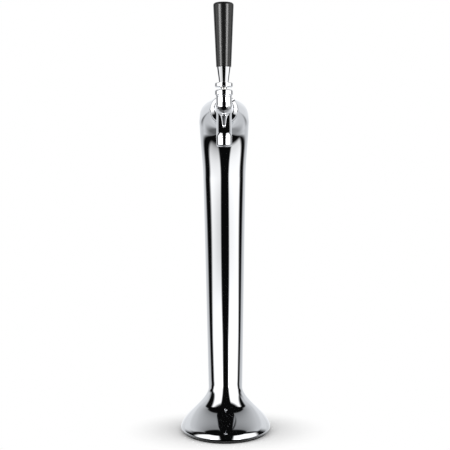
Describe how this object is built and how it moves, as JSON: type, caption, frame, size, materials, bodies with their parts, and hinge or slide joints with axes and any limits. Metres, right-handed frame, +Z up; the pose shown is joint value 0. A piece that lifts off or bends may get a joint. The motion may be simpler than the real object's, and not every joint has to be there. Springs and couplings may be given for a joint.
{
  "type": "beer tower dispenser",
  "caption": "Chrome cobra-neck draft beer tower on an oval flared base, with a lever faucet, a coupling nut and a tapered black tap handle.",
  "frame": {"origin": "middle of the oval base, on the surface the tower stands on", "axes": "+Z up; the faucet and the handle face -Y; +X to the right as seen from the faucet's side; mirror symmetric in X"},
  "size_m": [0.1168, 0.2127, 0.54],
  "materials": {
    "chrome_plate": "mirror bright",
    "stainless": "machined",
    "plated_brass": "satin nickel",
    "bare_brass": "machined",
    "black_rubber": "matt",
    "white_nylon": "satin",
    "black_grip": "gloss",
    "clear_hose": "satin",
    "grey_foam": "open cell"
  },
  "bodies": {
    "tower": {"tower_shell": "chrome_plate", "base_gasket": "black_rubber", "base_inserts": "bare_brass", "foam_insulation": "grey_foam", "beer_line": "clear_hose", "line_clamps": "stainless", "line_tail": "stainless", "tail_seal": "black_rubber", "swivel_nut": "plated_brass", "shank": "stainless", "shank_flange": "chrome_plate", "shank_grub_screw": "stainless", "coupling_seal": "black_rubber", "coupling_nut": "chrome_plate", "faucet_body": "chrome_plate", "ball_washer": "white_nylon", "friction_ring": "white_nylon", "bonnet": "chrome_plate"},
    "lever": {"lever": "stainless", "lever_collar": "chrome_plate", "ferrule": "chrome_plate", "tap_handle": "black_grip", "handle_stud": "stainless"},
    "plunger": {"valve_shaft": "stainless", "seat_washer": "black_rubber", "seat_nut": "stainless", "shaft_ring": "black_rubber"}
  },
  "joints": [
    {"name": "lever_pull", "type": "hinge", "parent": "tower", "child": "lever", "pos_m": [0, -0.108, 0.427], "axis": [1, 0, 0], "range_deg": [0, 17]},
    {"name": "plunger_slide", "type": "slide", "parent": "tower", "child": "plunger", "axis": [0, 1, 0], "range_m": [0, 0.0036]}
  ],
  "couplings": [
    {"joint": "plunger_slide", "follows": "lever_pull", "m_per_rad": 0.01185}
  ]
}
